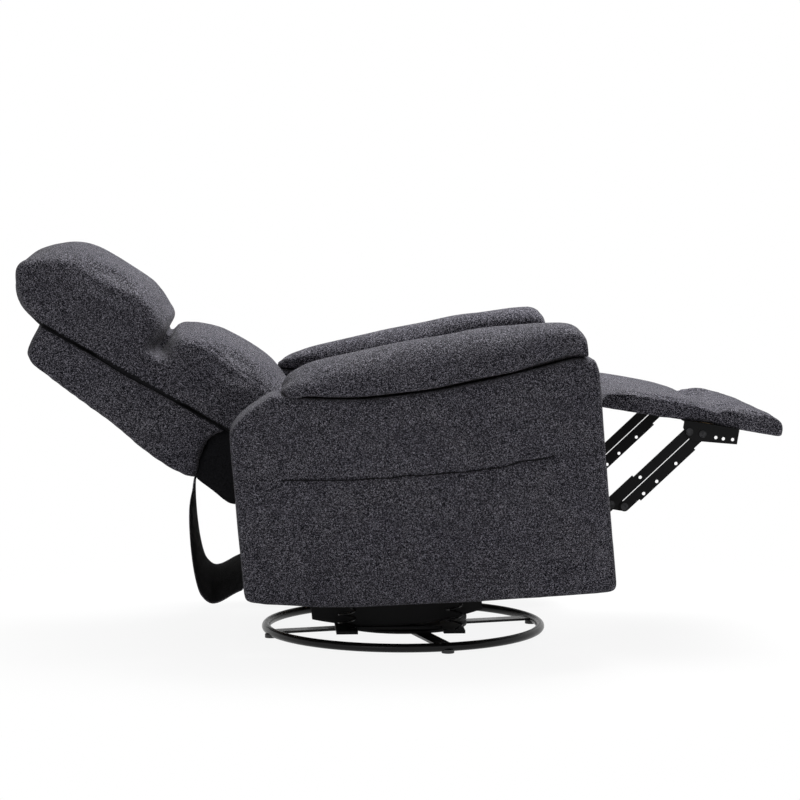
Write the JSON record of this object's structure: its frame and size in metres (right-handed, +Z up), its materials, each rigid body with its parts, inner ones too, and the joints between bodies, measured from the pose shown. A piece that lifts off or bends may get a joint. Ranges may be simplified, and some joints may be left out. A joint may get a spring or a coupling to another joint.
{
  "type": "swivel rocker recliner",
  "caption": "Upholstered recliner with padded arms, folding back and footrest, on a rocker base over a swivel floor ring.",
  "frame": {"origin": "on the swivel axis at floor level, under the glides", "axes": "+X forward towards the footrest, +Y the sitter's left, +Z up"},
  "size_m": [1.5679, 0.906, 0.8248],
  "materials": {
    "fabric": "heathered boucle weave, charcoal",
    "black_metal": "satin black paint",
    "plain_steel": "zinc plated",
    "wood": "raw plywood",
    "black_cloth": "woven dust cloth, matt black",
    "black_plastic": "fine moulded texture"
  },
  "bodies": {
    "base": {"base_ring": "black_metal", "base_spokes": "black_metal", "ring_glides": "black_plastic", "swivel_lower_plate": "black_metal", "swivel_pin": "plain_steel", "swivel_bearing": "plain_steel"},
    "turntable": {"swivel_upper_plate": "black_metal", "rocker_base": "black_metal", "rocker_springs": "plain_steel"},
    "chassis": {"rocker_cam_right": "black_metal", "rocker_cam_left": "black_metal", "front_cross_rail": "wood", "rear_cross_rail": "wood", "rear_rail": "wood", "side_panel_right": "fabric", "side_panel_left": "fabric", "arm_frame_right": "wood", "arm_frame_left": "wood", "arm_pad_right": "fabric", "arm_pad_left": "fabric", "base_plate_right": "black_metal", "base_plate_left": "black_metal", "hinge_pins": "plain_steel", "rear_flap": "fabric", "release_bezel": "black_plastic", "release_cable": "black_cloth"},
    "release": {"release_lever": "black_plastic"},
    "back": {"back_frame": "wood", "back_brackets": "black_metal", "outer_back_shell": "fabric", "lumbar_cushion": "fabric", "headrest_pillow": "fabric", "back_lining": "black_cloth"},
    "front_carrier": {"front_carriers": "black_metal"},
    "rear_carrier": {"rear_carriers": "black_metal"},
    "seat": {"seat_plate_right": "black_metal", "seat_plate_left": "black_metal", "seat_side_rails": "wood", "seat_cross_rails": "wood", "seat_springs": "plain_steel", "seat_cushion": "fabric", "seat_rivets": "plain_steel", "crumb_cloth": "black_cloth"},
    "swing": {"swing_link_right": "black_metal", "swing_link_left": "black_metal", "swing_tube": "black_metal", "swing_rivets": "plain_steel"},
    "idler": {"idler_links": "black_metal"},
    "upper": {"upper_link_right": "black_metal", "upper_link_left": "black_metal", "upper_link_rivets": "plain_steel"},
    "lower": {"lower_link_right": "black_metal", "lower_link_left": "black_metal"},
    "footrest": {"footrest_board": "wood", "footrest_bracket_right": "black_metal", "footrest_bracket_left": "black_metal", "footrest_rivets": "plain_steel", "footrest_pad": "fabric"}
  },
  "joints": [
    {"name": "swivel", "type": "hinge", "parent": "base", "child": "turntable", "pos_m": [0, 0, 0.02], "axis": [0, 0, 1], "continuous": true},
    {"name": "rock", "type": "hinge", "parent": "turntable", "child": "chassis", "pos_m": [-0.056, 0, 0.719], "axis": [0, 1, 0], "range_deg": [-6, 14], "stiffness_Nm_per_rad": 150, "springref_deg": 5, "deforming": ["rocker_springs"]},
    {"name": "back_recline", "type": "hinge", "parent": "chassis", "child": "back", "pos_m": [-0.28665, 0, 0.38362], "axis": [0, 1, 0], "range_deg": [0, 40], "deforming": ["rear_flap"]},
    {"name": "carrier_front", "type": "hinge", "parent": "chassis", "child": "front_carrier", "pos_m": [0.07064, 0, 0.25828], "axis": [0, 1, 0], "range_deg": [-28, 0]},
    {"name": "carrier_rear", "type": "hinge", "parent": "chassis", "child": "rear_carrier", "pos_m": [-0.10868, 0, 0.2426], "axis": [0, 1, 0], "range_deg": [-28, 0]},
    {"name": "seat_level", "type": "hinge", "parent": "front_carrier", "child": "seat", "pos_m": [0.06784, 0, 0.33824], "axis": [0, 1, 0], "range_deg": [0, 28]},
    {"name": "footrest_fold", "type": "hinge", "parent": "seat", "child": "swing", "pos_m": [0.25803, 0, 0.38811], "axis": [0, 1, 0], "range_deg": [0, 75.5]},
    {"name": "idler_turn", "type": "hinge", "parent": "seat", "child": "idler", "pos_m": [0.22439, 0, 0.35674], "axis": [0, 1, 0], "range_deg": [0, 75.5]},
    {"name": "upper_turn", "type": "hinge", "parent": "swing", "child": "upper", "pos_m": [0.40597, 0, 0.30061], "axis": [0, 1, 0], "range_deg": [-75.5, 0]},
    {"name": "lower_turn", "type": "hinge", "parent": "swing", "child": "lower", "pos_m": [0.4331, 0, 0.29607], "axis": [0, 1, 0], "range_deg": [-75.5, 0]},
    {"name": "footrest_turn", "type": "hinge", "parent": "upper", "child": "footrest", "pos_m": [0.56358, 0, 0.44758], "axis": [0, 1, 0], "range_deg": [0, 75.5]},
    {"name": "release_pull", "type": "hinge", "parent": "chassis", "child": "release", "pos_m": [0.20636, -0.2972, 0.5427], "axis": [-0.9962, 0, -0.0872], "range_deg": [0, 25], "stiffness_Nm_per_rad": 0.6}
  ],
  "couplings": [
    {"joint": "carrier_front", "follows": "back_recline", "ratio": -0.7},
    {"joint": "carrier_rear", "follows": "back_recline", "ratio": -0.7},
    {"joint": "seat_level", "follows": "back_recline", "ratio": 0.7},
    {"joint": "idler_turn", "follows": "footrest_fold", "ratio": 1},
    {"joint": "upper_turn", "follows": "footrest_fold", "ratio": -1},
    {"joint": "lower_turn", "follows": "footrest_fold", "ratio": -1},
    {"joint": "footrest_turn", "follows": "footrest_fold", "ratio": 1}
  ]
}
